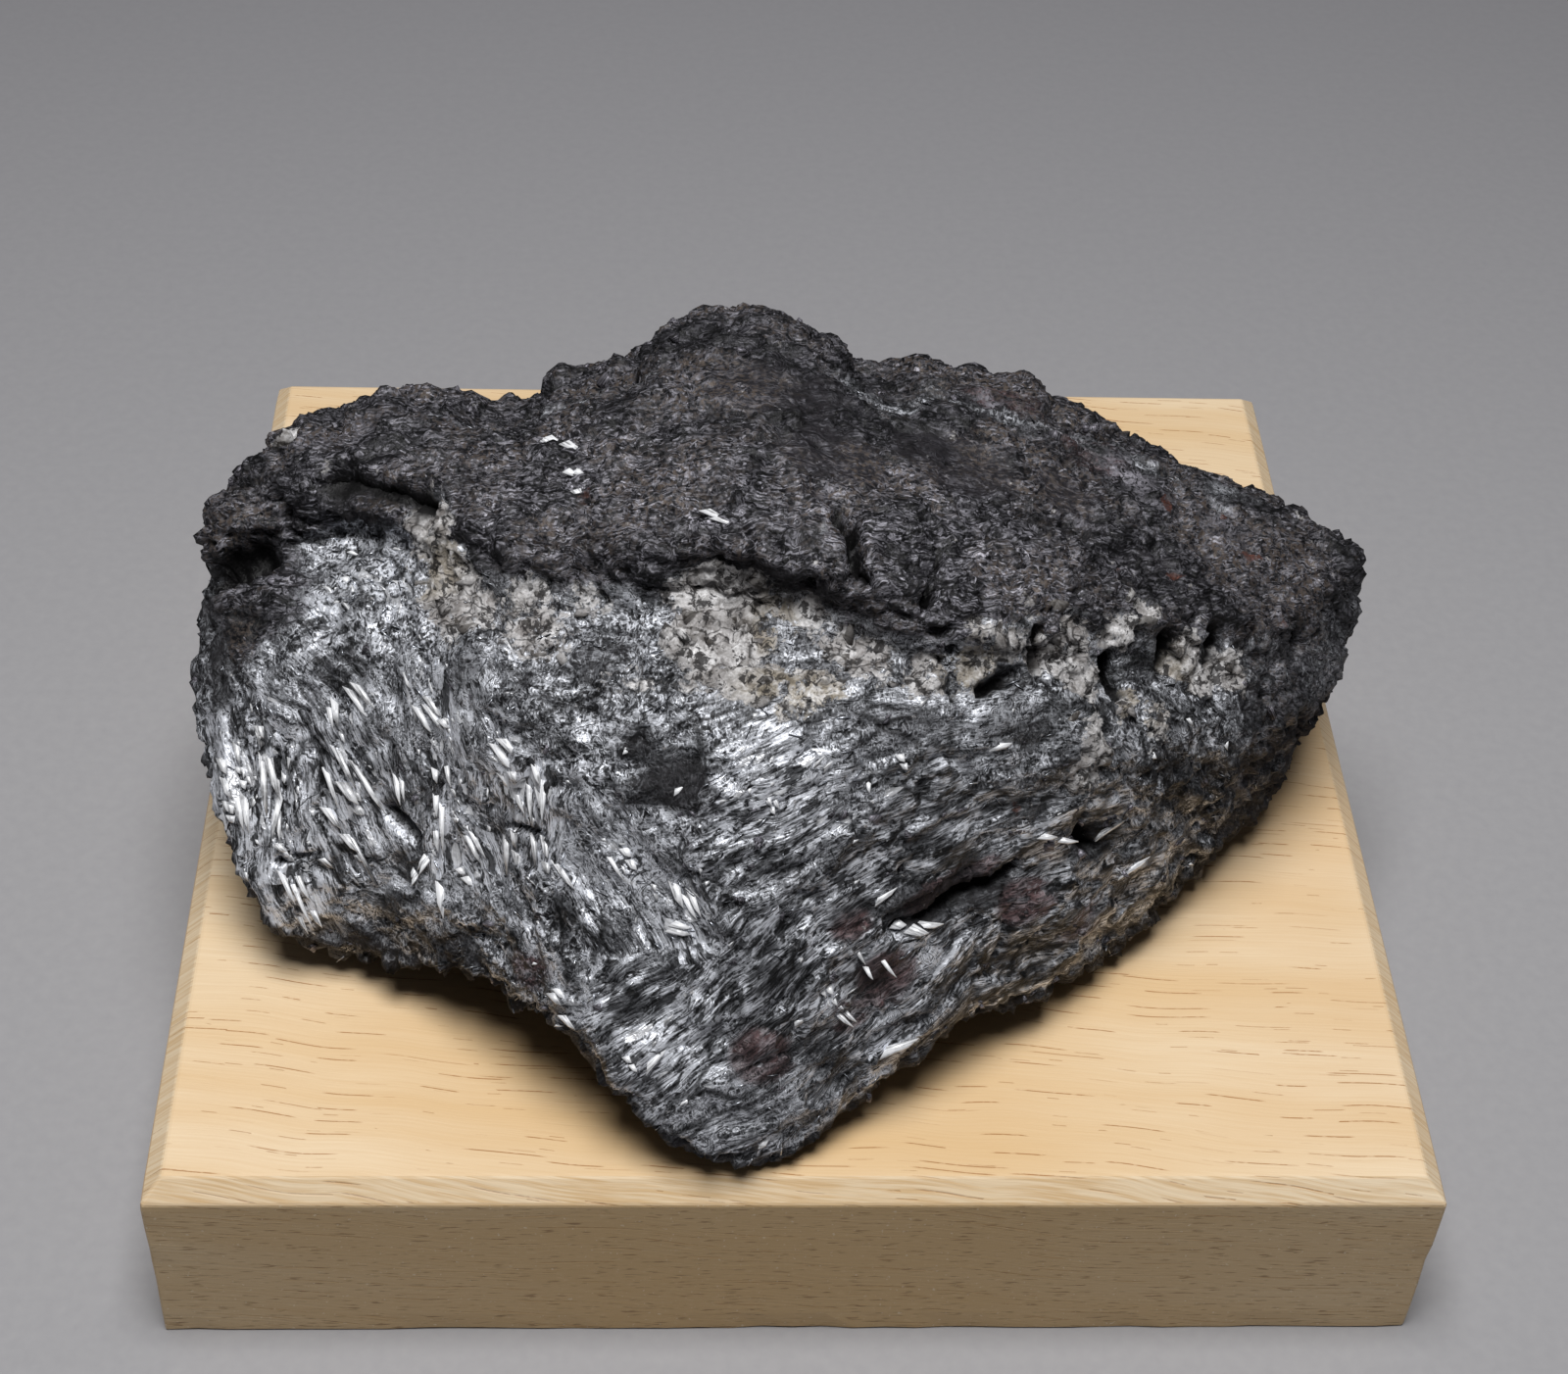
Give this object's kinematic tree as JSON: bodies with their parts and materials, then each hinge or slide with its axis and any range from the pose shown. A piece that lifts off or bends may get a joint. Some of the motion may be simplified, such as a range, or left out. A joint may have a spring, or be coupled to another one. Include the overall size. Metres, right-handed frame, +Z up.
{
  "type": "mineral specimen",
  "caption": "Large hand specimen of livingstonite: a broken, fibrous metallic-grey stone with a pale vein across it, resting on a square chamfered block of pale wood.",
  "frame": {"origin": "Centre of the underside of the wooden block, on the surface it stands on.", "axes": "+Z is up. +X runs to the right along the block's front edge and +Y runs away from the viewer, from the stone's blunt front point towards its back."},
  "size_m": [0.1, 0.1, 0.0593],
  "materials": {
    "livingstonite": "rough broken surface with metallic fibres",
    "pale_wood": "sanded, bare"
  },
  "bodies": {
    "root": {"display_block": "pale_wood", "livingstonite_stone": "livingstonite"}
  },
  "joints": []
}
